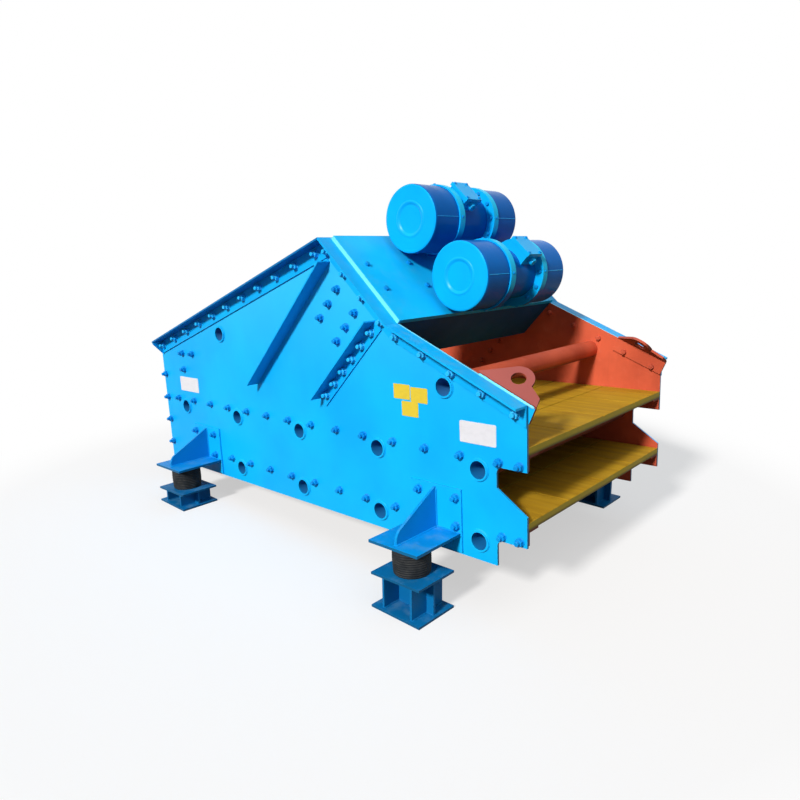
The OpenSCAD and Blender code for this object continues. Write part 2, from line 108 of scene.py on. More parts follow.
PAD_Z = SEAT_Z - SEAT_T - SPRING_H

# Slopes of the side plate's edge, and points that follow from them
KINK_X = PEAK_X + THROW_LEN * math.cos(math.radians(THROW_ANGLE))
KINK_Z = PEAK_Z - THROW_LEN * math.sin(math.radians(THROW_ANGLE))
FEED_RISE = (PEAK_Z - FEED_TOP_Z) / (FEED_EDGE + PEAK_X)
END_FALL = (KINK_Z - END_TOP_Z) / (END_EDGE - KINK_X)
LUG_TIP_X = LUG_X + LUG_LEN * math.cos(math.atan(END_FALL))
FEED_TUBE_Z = PEAK_Z - (PEAK_X - FEED_TUBE_X) * FEED_RISE - FEED_TUBE_DROP

# Axes of the screen box in the part's frame, and the numbers of a vector's parts
TILT = math.radians(DECK_RISE)
BOX_ALONG = (math.cos(TILT), 0, math.sin(TILT))
BOX_UP = (-math.sin(TILT), 0, math.cos(TILT))
ALONG = 0
ACROSS = 1
UP = 2

# Frames: millimetres of a local frame to metres of the part
MM = Matrix.Scale(0.001, 4)


def move(x, y, z):
    return Matrix.Translation((x, y, z))


def turn(degrees, axis):
    return Matrix.Rotation(math.radians(degrees), 4, axis)


BOX = MM @ move(SHIFT_X, 0, 0) @ turn(-DECK_RISE, "Y")
THROW = BOX @ move(PEAK_X, 0, PEAK_Z) @ turn(THROW_ANGLE, "Y")
MIRROR = Matrix.Diagonal((1, -1, 1, 1))
SIDES = (("right", Matrix.Identity(4)), ("left", MIRROR))
ENDS = (("feed", -SPRING_X), ("discharge", SPRING_X))


def motor_frame(along):
    """Frame on a motor's shaft, given the shaft's place down the motor plate."""
    return THROW @ move(along, 0, MOTOR_PLATE_T + SHAFT_H)


def outward(x, z, out):
    """Frame on the right side plate, with Z away from it and out millimetres off its outer face."""
    return BOX @ move(x, -HALF_W - out, z) @ turn(90, "X")


def inward(x, z, inside):
    """Frame inside the right side plate, with Z toward the middle."""
    return BOX @ move(x, -INNER_W + inside, z) @ turn(-90, "X")


# Mesh building
class Shape:
    """Points and faces of one piece, gathered from simple forms."""

    def __init__(self):
        self.points = []
        self.faces = []

    def add(self, points, faces, at):
        first = len(self.points)
        self.points.extend(tuple(at @ Vector(p)) for p in points)
        flip = at.determinant() < 0
        for face in faces:
            loop = [first + i for i in face]
            self.faces.append(loop[::-1] if flip else loop)

    def rings(self, rings, at, start_cap=True, end_cap=True):
        """Joins rings of equal count, given in order along +Z and turning from +X to +Y."""
        count = len(rings[0])
        points = [p for ring in rings for p in ring]
        faces = []
        for k in range(len(rings) - 1):
            low = k * count
            high = low + count
            for i in range(count):
                j = (i + 1) % count
                faces.append((low + i, low + j, high + j, high + i))
        if start_cap:
            faces.append(tuple(range(count - 1, -1, -1)))
        if end_cap:
            last = (len(rings) - 1) * count
            faces.append(tuple(range(last, last + count)))
        self.add(points, faces, at)

    def lathe(self, profile, sides, at, start_cap=True, end_cap=True):
        """Turns (radius, height) pairs round Z."""
        ring_list = []
        for radius, height in profile:
            ring = []
            for i in range(sides):
                a = 2 * math.pi * i / sides
                ring.append((radius * math.cos(a), radius * math.sin(a), height))
            ring_list.append(ring)
        self.rings(ring_list, at, start_cap, end_cap)


SHARP_ANGLE = 32
ROUND_ANGLE = 60


def piece(name, shape, material, body, sharp=SHARP_ANGLE):
    """Makes an object from a shape, with smooth faces and sharp edges over an angle."""
    mesh = bpy.data.meshes.new(name)
    mesh.from_pydata(shape.points, [], shape.faces)
    mesh.update()
    mesh.polygons.foreach_set("use_smooth", [True] * len(mesh.polygons))
    mesh.set_sharp_from_angle(angle=math.radians(sharp))
    mesh.materials.append(material)
    obj = bpy.data.objects.new(name, mesh)
    bpy.context.scene.collection.objects.link(obj)
    if body:
        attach(obj, body)
    return obj


# Fasteners: sizes in shares of the width over a hexagon's flats, and counts of sides
WASHER_R = 0.62
WASHER_T = 0.1
HEAD_H = 0.42
NUT_H = 0.52
THREAD_R = 0.32
WASHER_SIDES = 18
THREAD_SIDES = 14


def washer(shape, at, flats):
    """Round washer with a worn rim. Gives its thickness."""
    radius = WASHER_R * flats
    thick = WASHER_T * flats
    shape.lathe([(radius, -1), (radius, 0.7 * thick), (0.94 * radius, thick)], WASHER_SIDES, at)
    return thick


def bolt(shape, at, flats, rng):
    """Hexagon head with a chamfer on a washer, in a frame with Z out of the surface."""
    foot = washer(shape, at, flats)
    head_h = HEAD_H * flats
    corner = flats / math.sqrt(3)
    profile = [
        (corner, foot - 0.5),
        (corner, foot + 0.82 * head_h),
        (0.9 * corner, foot + head_h),
        (0.5 * corner, foot + head_h + 0.3),
    ]
    shape.lathe(profile, 6, at @ turn(rng.uniform(0, 60), "Z"))


def nut(shape, at, flats, rng, reach=1.45):
    """Hexagon nut on a washer, with the bolt's end through it to reach times the nut's height."""
    foot = washer(shape, at, flats)
    nut_h = NUT_H * flats
    corner = flats / math.sqrt(3)
    profile = [(corner, foot - 0.5), (corner, foot + 0.86 * nut_h), (0.9 * corner, foot + nut_h)]
    shape.lathe(profile, 6, at @ turn(rng.uniform(0, 60), "Z"))
    thread_r = THREAD_R * flats
    top = reach * nut_h
    shape.lathe([(thread_r, nut_h), (thread_r, top - 2), (0.85 * thread_r, top)], THREAD_SIDES, at)


def slab(shape, width, height, thick, corner, at):
    """Plate with round corners and a soft edge, in the frame's XY plane."""
    rim = min(0.35 * thick, 0.8)
    ring_list = []
    for inset, z in ((0, -0.3), (0, thick - rim), (rim, thick)):
        ring = []
        for cx, cy, start in ((1, 1, 0), (-1, 1, 90), (-1, -1, 180), (1, -1, 270)):
            for k in range(5):
                a = math.radians(start + 22.5 * k)
                x = cx * (width / 2 - corner) + (corner - inset) * math.cos(a)
                y = cy * (height / 2 - corner) + (corner - inset) * math.sin(a)
                ring.append((x, y, z))
        ring_list.append(ring)
    shape.rings(ring_list, at)


WELD_STEP = 5.0
WELD_SIDES = 8


def weld(shape, path, radius, at, rng, closed=False):
    """Bead along a path of points, with ripples and an uneven width."""
    points = [Vector(p) for p in path]
    ends = points[1:] + points[:1] if closed else points[1:]
    line = []
    for a, b in zip(points, ends):
        count = max(1, round((b - a).length / WELD_STEP))
        line.extend(a.lerp(b, k / count) for k in range(count))
    if not closed:
        line.append(points[-1])
    last = len(line) - 1
    ring_list = []
    for k, p in enumerate(line):
        before = line[k - 1] if k or closed else p
        after = line[(k + 1) % len(line)] if k < last or closed else p
        along = (after - before).normalized()
        if abs(along.z) > 0.9:
            across = along.orthogonal().normalized()
        else:
            across = along.cross(Vector((0, 0, 1))).normalized()
        up = across.cross(along)
        taper = 1 if closed or 0 < k < last else 0.5
        r = radius * (rng.uniform(0.9, 1.08) + 0.07 * (k % 2)) * taper
        ring = []
        for i in range(WELD_SIDES):
            t = 2 * math.pi * i / WELD_SIDES
            ring.append(tuple(p + r * (math.cos(t) * across + math.sin(t) * up)))
        ring_list.append(ring)
    if closed:
        ring_list.append(ring_list[0])
    shape.rings(ring_list, at, not closed, not closed)


# Materials
class Nodes:
    """Short way to place and join the nodes of a material or a world."""

    def __init__(self, owner):
        owner.use_nodes = True
        self.owner = owner
        self.tree = owner.node_tree
        self.tree.nodes.clear()

    def put(self, value, socket):
        if isinstance(value, bpy.types.NodeSocket):
            self.tree.links.new(value, socket)
        else:
            socket.default_value = value

    def add(self, kind, values=None, **settings):
        node = self.tree.nodes.new(kind)
        for key, value in settings.items():
            setattr(node, key, value)
        for key, value in (values or {}).items():
            self.put(value, node.inputs[key])
        return node

    def math(self, operation, a, b=0.0):
        return self.add("ShaderNodeMath", {0: a, 1: b}, operation=operation).outputs[0]

    def times(self, a, b):
        return self.math("MULTIPLY", a, b)

    def rest(self, value):
        """What a value lacks to 1."""
        return self.math("SUBTRACT", 1.0, value)

    def vector(self, operation, a, b):
        return self.add("ShaderNodeVectorMath", {0: a, 1: b}, operation=operation).outputs["Vector"]

    def dot(self, a, b):
        return self.add("ShaderNodeVectorMath", {0: a, 1: b}, operation="DOT_PRODUCT").outputs["Value"]

    def length(self, a):
        return self.add("ShaderNodeVectorMath", {0: a}, operation="LENGTH").outputs["Value"]

    def smooth(self, value, low, high):
        """Soft step from 0 at low to 1 at high."""
        values = {"Value": value, "From Min": low, "From Max": high}
        return self.add("ShaderNodeMapRange", values, interpolation_type="SMOOTHSTEP").outputs["Result"]

    def span(self, value, low, high):
        """Value from 0 to 1 brought to the span from low to high."""
        values = {"Value": value, "To Min": low, "To Max": high}
        return self.add("ShaderNodeMapRange", values).outputs["Result"]

    def mix(self, factor, a, b):
        node = self.add("ShaderNodeMix", data_type="RGBA")
        for socket, value in zip((node.inputs[0], node.inputs[6], node.inputs[7]), (factor, a, b)):
            self.put(value, socket)
        return node.outputs[2]

    def tint(self, color, tone, mask, share):
        """Brings a share of a tone into a colour where the mask is 1."""
        return self.mix(self.times(mask, share), color, tone)

    def coord(self):
        return self.add("ShaderNodeTexCoord").outputs["Object"]

    def part(self, vector, axis):
        return self.add("ShaderNodeSeparateXYZ", {0: vector}).outputs[axis]

    def place_part(self, axis):
        """One coordinate of the place on the part, in metres."""
        return self.part(self.coord(), axis)

    def normal_part(self, axis):
        """One part of the direction that a face looks in."""
        return self.part(self.add("ShaderNodeNewGeometry").outputs["Normal"], axis)

    def under(self, low, high):
        """1 on faces that look down, from a slope of low to one of high."""
        return self.smooth(self.times(self.normal_part(UP), -1.0), low, high)

    def place(self, stretch):
        """Place on the part, scaled along each axis by stretch."""
        values = {"Vector": self.coord(), "Scale": stretch}
        return self.add("ShaderNodeMapping", values, vector_type="POINT").outputs["Vector"]

    def noise(self, scale, detail=4.0, stretch=(1.0, 1.0, 1.0), rough=0.55):
        values = {"Vector": self.place(stretch), "Scale": scale, "Detail": detail, "Roughness": rough}
        return self.add("ShaderNodeTexNoise", values).outputs["Fac"]

    def bump(self, height, strength, distance):
        node = self.add("ShaderNodeBump", {"Height": height, "Strength": strength, "Distance": distance})
        return node.outputs["Normal"]

    def edges(self, radius):
        """About 1 at edges and corners, and 0 on flat faces."""
        soft = self.add("ShaderNodeBevel", {"Radius": radius}, samples=4).outputs["Normal"]
        flat = self.add("ShaderNodeNewGeometry").outputs["Normal"]
        return self.smooth(self.dot(soft, flat), 0.99, 0.8)

    def surface(self, color, roughness, normal, specular=0.5):
        """Ends the tree in one shader, and gives the material."""
        values = {"Base Color": color, "Roughness": roughness, "Normal": normal}
        shader = self.add("ShaderNodeBsdfPrincipled", values)
        shader.inputs["Specular IOR Level"].default_value = specular
        self.add("ShaderNodeOutputMaterial", {"Surface": shader.outputs[0]})
        return self.owner


def material_nodes(name):
    return Nodes(bpy.data.materials.new(name))


# Tones. In a set of three, the first is deep, the second plain and the third light.
BLUE = (0.004, 0.50, 0.95, 1)
BLUE_DEEP = (0.003, 0.42, 0.90, 1)
BLUE_PALE = (0.03, 0.60, 0.98, 1)
# Painted shade: navy for the insides of the tube bores
BORE_NAVY_SHADE = (0.003, 0.20, 0.50, 1)
# Painted shade: dark navy on faces that look down and on the feed angles' outer edges
SHADE_NAVY = (0.001, 0.12, 0.36, 1)
BLEACHED = (0.07, 0.66, 0.98, 1)
# Painted highlight: pale blue on the side plates' top edges and the motor plate's side faces
EDGE_HIGHLIGHT = (0.22, 0.80, 1.0, 1)
# Painted shade: near-black blue on plate edges and on faces that look to the discharge end
EDGE_SHADE = (0.003, 0.06, 0.12, 1)
# Painted highlight: pale cyan on the motor flanges' rims, for light from above
RIM_HIGHLIGHT = (0.02, 0.66, 1.0, 1)
DUST = (0.20, 0.40, 0.55, 1)
PRIMER = (0.20, 0.05, 0.03, 1)
OXIDE_DUST = (0.31, 0.095, 0.09, 1)
# Dark brown that is painted shade, partly soiling, on primer undersides, rails, cross tubes and lug faces
SHADE_AND_GRIME = (0.035, 0.014, 0.010, 1)
BRIGHT_TONES = (BLUE_DEEP, BLUE, BLUE_PALE)
DRUM_TONES = ((0.001, 0.12, 0.44, 1), (0.001, 0.18, 0.62, 1), (0.01, 0.33, 0.80, 1))
# Painted shade: darker blue tones for nuts and bolt heads
BOLT_SHADE_TONES = ((0.002, 0.25, 0.66, 1), (0.003, 0.33, 0.78, 1), BLUE)
# Painted highlight: paler tones for the bolts in the edge and stiffener rows
ROW_HIGHLIGHT_TONES = (BLUE, (0.03, 0.57, 0.97, 1), (0.35, 0.82, 1.0, 1))
BRACKET_TONES = ((0.002, 0.25, 0.62, 1), (0.003, 0.32, 0.72, 1), BLUE)
FOOT_TONES = ((0.002, 0.12, 0.31, 1), (0.003, 0.165, 0.40, 1), (0.003, 0.26, 0.58, 1))
# Painted shade: near-black blue for the motor beam under the motor plate
BEAM_SHADE_TONES = ((0.001, 0.045, 0.13, 1), (0.002, 0.075, 0.22, 1), (0.003, 0.16, 0.40, 1))
# Painted light: a paler blue for the motor plate
PLATE_LIGHT_TONES = (BLUE, (0.01, 0.60, 1.0, 1), (0.05, 0.72, 1.0, 1))
# Painted highlight: pale blue for the bead along the lugs' top edges
EDGE_HIGHLIGHT_TONES = ((0.15, 0.70, 1.0, 1), (0.28, 0.78, 1.0, 1), (0.5, 0.86, 1.0, 1))
OXIDE_TONES = ((0.42, 0.062, 0.028, 1), (0.60, 0.10, 0.045, 1), (0.66, 0.17, 0.11, 1))
# Painted light: primer in brighter tones for the side plates and lugs
WALL_LIT_TONES = ((0.50, 0.080, 0.036, 1), (0.70, 0.122, 0.054, 1), (0.76, 0.19, 0.115, 1))
DECK_TONES = ((0.47, 0.245, 0.010, 1), (0.64, 0.37, 0.020, 1), (0.72, 0.45, 0.045, 1))
DECK_STAIN = (0.20, 0.10, 0.008, 1)
DECK_SLOT = (0.10, 0.05, 0.006, 1)
# Painted shade: dark olive on the decks' front faces, and near black at the foot of them
DECK_FRONT_SHADE = (0.30, 0.25, 0.025, 1)
DECK_FOOT_SHADE = (0.030, 0.022, 0.006, 1)
RUBBER_TONES = ((0.010, 0.012, 0.014, 1), (0.026, 0.028, 0.030, 1), (0.11, 0.10, 0.085, 1))
# Radius of the edges made paler, partly as worn paint and partly as a painted highlight
EDGE_WEAR_AND_HIGHLIGHT = 0.005
PAINT_GLOSS = 0.12
DRUM_GLOSS = 0.04


def blue_color(n, tones=BRIGHT_TONES):
    """Paint with cloudy tone, runs, edges paler as wear and painted highlight, painted shade on undersides,
    dust on level faces, chips and scuffs.
    """
    deep, plain, light = tones
    color = n.mix(n.smooth(n.noise(2.6, 3.0), 0.3, 0.72), deep, plain)
    runs = n.smooth(n.noise(5.0, 5.0, (7.0, 7.0, 0.55)), 0.56, 0.8)
    color = n.tint(color, deep, runs, 0.22)
    edge = n.edges(EDGE_WEAR_AND_HIGHLIGHT)
    # Edges paler, partly as worn paint and partly as a painted highlight
    color = n.tint(color, light, edge, 0.25)
    # Painted shade on the faces that look down
    color = n.tint(color, SHADE_NAVY, n.under(0.5, 1.0), 0.9)
    level = n.smooth(n.normal_part(UP), 0.6, 1.0)
    grit = n.smooth(n.noise(16.0, 6.0), 0.45, 0.75)
    color = n.tint(color, DUST, n.times(level, grit), 0.3)
    chips = n.times(edge, n.smooth(n.noise(46.0, 4.0), 0.64, 0.7))
    color = n.tint(color, PRIMER, chips, 0.7)
    scuffs = n.smooth(n.noise(60.0, 6.0, (1.0, 1.0, 2.2), 0.7), 0.68, 0.76)
    patch = n.smooth(n.noise(1.7, 2.0), 0.55, 0.7)
    return n.tint(color, light, n.times(scuffs, patch), 0.35)


def oxide_color(n, tones=OXIDE_TONES):
    """Matt primer with cloudy tone, runs, pale dust, edges paler as wear and painted highlight, and painted
    shade on undersides.
    """
    deep, plain, light = tones
    color = n.mix(n.smooth(n.noise(3.4, 5.0), 0.3, 0.7), deep, plain)
    runs = n.smooth(n.noise(6.0, 5.0, (5.0, 5.0, 0.6)), 0.5, 0.8)
    color = n.tint(color, deep, runs, 0.35)
    pale = n.smooth(n.noise(22.0, 6.0), 0.55, 0.8)
    color = n.tint(color, light, pale, 0.3)
    # Edges paler, partly as worn paint and partly as a painted highlight
    color = n.tint(color, light, n.edges(EDGE_WEAR_AND_HIGHLIGHT), 0.4)
    # Painted shade on the faces that look down
    return n.tint(color, SHADE_AND_GRIME, n.under(0.3, 0.9), 0.75)


def paint_bump(n, strength):
    """Orange peel on slow waves."""
    peel = n.noise(420.0, 2.0)
    waves = n.noise(9.0, 2.0)
    height = n.math("ADD", n.times(peel, 0.12), waves)
    return n.bump(height, strength, 0.0006)


def box_place(n, axis):
    """Distance in metres along an axis of the screen box."""
    local = n.vector("SUBTRACT", n.coord(), (SHIFT_X / 1000, 0, 0))
    return n.dot(local, axis)


# Masks: each gives 1 on the faces that it names, and 0 on the others
def far_out(n, axis, limit):
    """Places more than a limit in millimetres from the middle along an axis."""
    return n.math("GREATER_THAN", n.math("ABSOLUTE", n.place_part(axis)), limit / 1000)


def upright_faces(n):
    return n.math("LESS_THAN", n.math("ABSOLUTE", n.normal_part(UP)), 0.5)


def end_faces(n):
    """Faces that look along the motors' shafts."""
    return n.math("GREATER_THAN", n.math("ABSOLUTE", n.normal_part(ACROSS)), 0.7)


def flange_rims(along):
    """Rims of the flanges of the motor at a place on the motor plate."""
    def mask(n):
        local = n.vector("SUBTRACT", n.coord(), motor_frame(along).translation)
        reach = n.length(n.vector("MULTIPLY", local, (1, 0, 1)))
        on_rim = n.math("GREATER_THAN", reach, (COVER_R + FLANGE_R) / 2000)
        above_feet = n.smooth(n.part(local, UP), -0.09, -0.04)
        return n.times(on_rim, n.times(above_feet, n.rest(end_faces(n))))
    return mask


def outer_edges(n):
    """Outer edge faces of the angles along the side plates."""
    return far_out(n, ACROSS, HALF_W + ANGLE_LEG - 1)


def beyond_plates(n):
    """Seat and gusset of a bracket, without the plate that it bolts on with."""
    return far_out(n, ACROSS, HALF_W + PLATE_T + 0.5)


def bracket_plates(n):
    """Plate that a bracket bolts on with."""
    return n.rest(beyond_plates(n))


def upright_between(n, low, high):
    """Upright faces between two heights of the screen box, in millimetres."""
    height = box_place(n, BOX_UP)
    above = n.math("GREATER_THAN", height, low / 1000)
    below = n.math("LESS_THAN", height, high / 1000)
    return n.times(n.times(above, below), upright_faces(n))


def seat_edges(n):
    """Edges of the brackets' seats."""
    return n.times(upright_between(n, SEAT_Z - SEAT_T, SEAT_Z), beyond_plates(n))


def foot_edges(n):
    """Edges of the pedestals' top and base plates."""
    low = n.math("LESS_THAN", n.place_part(UP), FOOT_T / 1000)
    base = n.times(low, upright_faces(n))
    return n.math("MAXIMUM", base, upright_between(n, PAD_Z - FOOT_T, PAD_Z))


def outer_faces(n):
    """Faces of a side plate that don't look toward the middle of the screen."""
    facing = n.times(n.normal_part(ACROSS), n.place_part(ACROSS))
    return n.math("GREATER_THAN", facing, -0.3)


def lug_outside(n):
    """Face of a lug's strip that lies against the side plate."""
    facing = n.times(n.normal_part(ACROSS), n.math("SIGN", n.place_part(ACROSS)))
    return n.math("GREATER_THAN", facing, 0.85)


def wall_outside(n):
    """Face of the feed wall that looks out of the screen."""
    return n.math("LESS_THAN", n.normal_part(ALONG), -0.5)


def make_blue(name, rough_low, rough_high, tones=BRIGHT_TONES, bright=None, accent=None, gloss=PAINT_GLOSS):
    """Blue paint in three tones, the bright ones on a mask, with an accent of (mask, tone, share)."""
    n = material_nodes(name)
    color = blue_color(n, tones)
    if bright:
        color = n.mix(bright(n), color, blue_color(n))
    if accent:
        mask, tone, share = accent
        color = n.tint(color, tone, mask(n), share)
    rough = n.span(n.noise(11.0, 5.0), rough_low, rough_high)
    return n.surface(color, rough, paint_bump(n, 0.35), gloss)


def make_oxide(name, grime_and_shade=0.0):
    """Primer, with a share of painted shade, partly soiling, on the faces that look to the discharge end.
    """
    n = material_nodes(name)
    color = oxide_color(n)
    if grime_and_shade:
        # Painted shade, partly soiling, on the faces that look to the discharge end
        front = n.smooth(n.normal_part(ALONG), 0.5, 0.9)
        dirt_and_shade = n.span(n.noise(14.0, 5.0), 0.8 * grime_and_shade, grime_and_shade)
        color = n.mix(n.times(front, dirt_and_shade), color, SHADE_AND_GRIME)
    rough = n.span(n.noise(15.0, 5.0), 0.55, 0.8)
    return n.surface(color, rough, paint_bump(n, 0.5), 0.15)


def make_two_tone(name, blue_mask, primer=OXIDE_TONES, top_highlight_share=0.0, front=None):
    """Blue on a mask, a painted highlight on top edges by a share, primer elsewhere, and a tone of painted
    shade on discharge edges.
    """
    n = material_nodes(name)
    mask = blue_mask(n)
    bare = n.rest(mask)
    bleach = n.span(n.noise(1.6, 2.0), 0.3, 0.75)
    high = n.times(n.smooth(n.place_part(UP), 0.7, 1.5), bleach)
    blue = n.mix(high, blue_color(n), BLEACHED)
    if top_highlight_share:
        level = n.smooth(n.normal_part(UP), 0.45, 0.6)
        top_edge_highlight = n.times(level, n.smooth(n.place_part(UP), 0.72, 0.8))
        # Painted highlight on the level top edges
        blue = n.tint(blue, EDGE_HIGHLIGHT, top_edge_highlight, top_highlight_share)
    color = n.mix(mask, oxide_color(n, primer), blue)
    dust = n.times(n.smooth(n.normal_part(UP), 0.3, 0.9), bare)
    color = n.tint(color, OXIDE_DUST, dust, 0.85)
    if front:
        # Painted shade on the faces that look to the discharge end
        color = n.tint(color, front, n.smooth(n.normal_part(ALONG), 0.6, 0.9), 0.8)
    wear = n.noise(12.0, 5.0)
    gloss = n.times(mask, n.span(wear, 0.3, 0.48))
    matt = n.times(bare, n.span(wear, 0.55, 0.8))
    return n.surface(color, n.math("ADD", gloss, matt), paint_bump(n, 0.35), PAINT_GLOSS)


def make_tube(name, first_x, pitch, rows, grime_and_shade=0.0):
    """Primer inside the screen with a share of painted shade that is partly soiling, blue ends that stand
    out, and bores in navy as painted shade, for tubes at a pitch in rows.
    """
    n = material_nodes(name)
    ends = far_out(n, ACROSS, HALF_W - 0.5)
    dx = n.math("SUBTRACT", box_place(n, BOX_ALONG), first_x / 1000)
    wrap = {0: dx, 1: pitch / 2000, 2: -pitch / 2000}
    dx = n.add("ShaderNodeMath", wrap, operation="WRAP").outputs[0]
    height = box_place(n, BOX_UP)
    gaps = [n.math("ABSOLUTE", n.math("SUBTRACT", height, z / 1000)) for z in rows]
    dz = gaps[0]
    for gap in gaps[1:]:
        dz = n.math("MINIMUM", dz, gap)
    reach = n.math("SQRT", n.math("ADD", n.times(dx, dx), n.times(dz, dz)))
    bore = n.math("LESS_THAN", reach, (TUBE_R - TUBE_WALL + 0.4) / 1000)
    wear = n.noise(12.0, 5.0)
    inside = oxide_color(n)
    if grime_and_shade:
        # Painted shade, partly soiling, on the primer of the tubes
        inside = n.mix(n.span(wear, 0.7 * grime_and_shade, grime_and_shade), inside, SHADE_AND_GRIME)
    color = n.mix(ends, inside, blue_color(n))
    # Bores in navy as painted shade
    color = n.mix(n.times(bore, n.span(wear, 0.85, 1.0)), color, BORE_NAVY_SHADE)
    return n.surface(color, n.span(wear, 0.45, 0.75), paint_bump(n, 0.35), PAINT_GLOSS)


def slot_rows(n):
    """Colour that is black on rows of fine slots, and white between them."""
    values = {
        "Vector": n.place((1.0, 1.0, 0.0)),
        "Color1": (1, 1, 1, 1),
        "Color2": (1, 1, 1, 1),
        "Mortar": (0, 0, 0, 1),
        "Scale": 1.0,
        "Mortar Size": 0.0011,
        "Mortar Smooth": 0.2,
        "Brick Width": 0.019,
        "Row Height": 0.0075,
    }
    return n.add("ShaderNodeTexBrick", values, offset=0.5).outputs["Color"]


def make_deck(name, node_name):
    """Ochre polyurethane with slots, streaks along the flow, stains, and painted shade on its front face
    that is darkest at the face's foot.
    """
    n = material_nodes(name)
    deep, plain, light = DECK_TONES
    streak = n.noise(3.0, 5.0, (0.6, 9.0, 1.0), 0.6)
    color = n.mix(n.smooth(streak, 0.3, 0.7), deep, plain)
    pale = n.smooth(n.noise(2.2, 4.0, (0.7, 3.0, 1.0)), 0.5, 0.75)
    color = n.tint(color, light, pale, 0.5)
    stain = n.smooth(n.noise(4.0, 6.0, (1.0, 2.0, 1.0), 0.7), 0.56, 0.74)
    color = n.tint(color, DECK_STAIN, stain, 0.32)
    level = n.smooth(n.normal_part(UP), 0.8, 0.95)
    dark = n.times(n.rest(slot_rows(n)), level)
    color = n.tint(color, DECK_SLOT, dark, 0.4)
    front = n.smooth(n.normal_part(ALONG), 0.6, 0.95)
    front_shade_amount = n.span(n.noise(9.0, 5.0, (1.0, 1.0, 4.0)), 0.55, 0.95)
    # Painted shade on the front face, uneven by noise
    color = n.mix(n.times(front, front_shade_amount), color, DECK_FRONT_SHADE)
    depth = n.math("SUBTRACT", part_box(node_name)[1][2], n.place_part(UP))
    # Painted shadow on the lower part of the front face
    foot = n.times(front, n.smooth(depth, 0.014, 0.030))
    color = n.tint(color, DECK_FOOT_SHADE, foot, 0.85)
    height = n.math("SUBTRACT", n.noise(260.0, 3.0), n.times(dark, 2.0))
    return n.surface(color, n.span(streak, 0.5, 0.78), n.bump(height, 0.5, 0.0008), 0.2)


def make_rubber(name):
    """Dark rubber with cloudy tone and dust on the ribs."""
    n = material_nodes(name)
    deep, plain, dusty = RUBBER_TONES
    cloud = n.noise(18.0, 6.0)
    color = n.mix(n.smooth(cloud, 0.35, 0.7), deep, plain)
    level = n.smooth(n.normal_part(UP), 0.05, 0.8)
    dust = n.times(level, n.smooth(n.noise(30.0, 5.0), 0.4, 0.7))
    color = n.tint(color, dusty, dust, 0.5)
    return n.surface(color, n.span(cloud, 0.6, 0.85), n.bump(n.noise(500.0, 3.0), 0.4, 0.0005), 0.2)


def make_blank(name, clean, dirty):
    """Bare label plate with smudges."""
    n = material_nodes(name)
    smudge = n.smooth(n.noise(24.0, 6.0, (1.0, 1.0, 1.6)), 0.4, 0.75)
    color = n.tint(color=clean, tone=dirty, mask=smudge, share=0.3)
    rough = n.span(n.noise(30.0, 4.0), 0.35, 0.55)
    return n.surface(color, rough, n.bump(n.noise(300.0, 2.0), 0.15, 0.0004))


def make_motor(name, along):
    """Dark blue drums with bright end faces, and flange rims in a pale tone as painted highlight."""
    # Flange rims in a pale tone as painted highlight
    rim_highlight = (flange_rims(along), RIM_HIGHLIGHT, 0.95)
    return make_blue(name, 0.16, 0.3, DRUM_TONES, end_faces, rim_highlight, DRUM_GLOSS)


ONE_TUBE = 5000
TUBE_PITCH = TUBE_X[1] - TUBE_X[0]
TUBE_ROWS = (UPPER_TUBE_Z, LOWER_TUBE_Z)

blue_plate = make_blue("blue_paint_plate", 0.32, 0.5)
blue_gloss = make_blue("blue_paint_box", 0.24, 0.38)
# Bolts and nuts in darker tones as painted shade
blue_bolts_shaded = make_blue("blue_paint_bolts_painted_shade", 0.3, 0.45, BOLT_SHADE_TONES)
# Bolts in the edge rows in paler tones as painted highlight
row_bolts_highlit = make_blue("blue_paint_row_bolts_painted_highlight", 0.3, 0.45, ROW_HIGHLIGHT_TONES)
# Pedestals: painted shade in near-black blue on the edges of their plates
blue_foot = make_blue("blue_paint_pedestal", 0.4, 0.6, FOOT_TONES, accent=(foot_edges, EDGE_SHADE, 0.6))
# Motor beam in near-black blue as painted shade
blue_beam_shaded = make_blue("blue_paint_beam_painted_shade", 0.4, 0.6, BEAM_SHADE_TONES)
# Motor plate: a paler blue as painted light, and a painted highlight on its side faces
blue_plate_lit = make_blue("blue_paint_motor_plate_painted_light", 0.3, 0.45, PLATE_LIGHT_TONES, accent=(end_faces, EDGE_HIGHLIGHT, 0.9))
# Pale blue bead as painted highlight
blue_highlight_bead = make_blue("blue_paint_edge_painted_highlight", 0.3, 0.45, EDGE_HIGHLIGHT_TONES)
# Brackets: painted shade in near-black blue on the edges of their seats
seat_edge_shade = (seat_edges, EDGE_SHADE, 0.7)
bracket_paint = make_blue("blue_paint_bracket", 0.32, 0.5, BRACKET_TONES, bracket_plates, seat_edge_shade)
upper_paint = make_motor("blue_paint_upper_motor", SHAFTS[0])
lower_paint = make_motor("blue_paint_lower_motor", SHAFTS[1])
# Feed angles: painted shade in dark navy on the outer edges of their standing legs
angle_paint = make_blue("blue_paint_feed_angle", 0.32, 0.5, accent=(outer_edges, SHADE_NAVY, 0.85))
oxide = make_oxide("red_oxide_primer")
# Rails and stringers: painted shade, partly soiling, on faces that look to the discharge end
rail_paint = make_oxide("deck_rail_primer", 0.95)
# Side plates: painted highlight on top edges, painted shade on faces that look to the discharge end, and
# inside primer in brighter tones as painted light
side_paint = make_two_tone("side_plate_paint", outer_faces, WALL_LIT_TONES, 0.85, EDGE_SHADE)
# Cross tubes: a share of painted shade, partly soiling, on the primer, and bores in navy as painted shade
tube_paint = make_tube("cross_tube_paint", TUBE_X[2], TUBE_PITCH, TUBE_ROWS, 0.85)
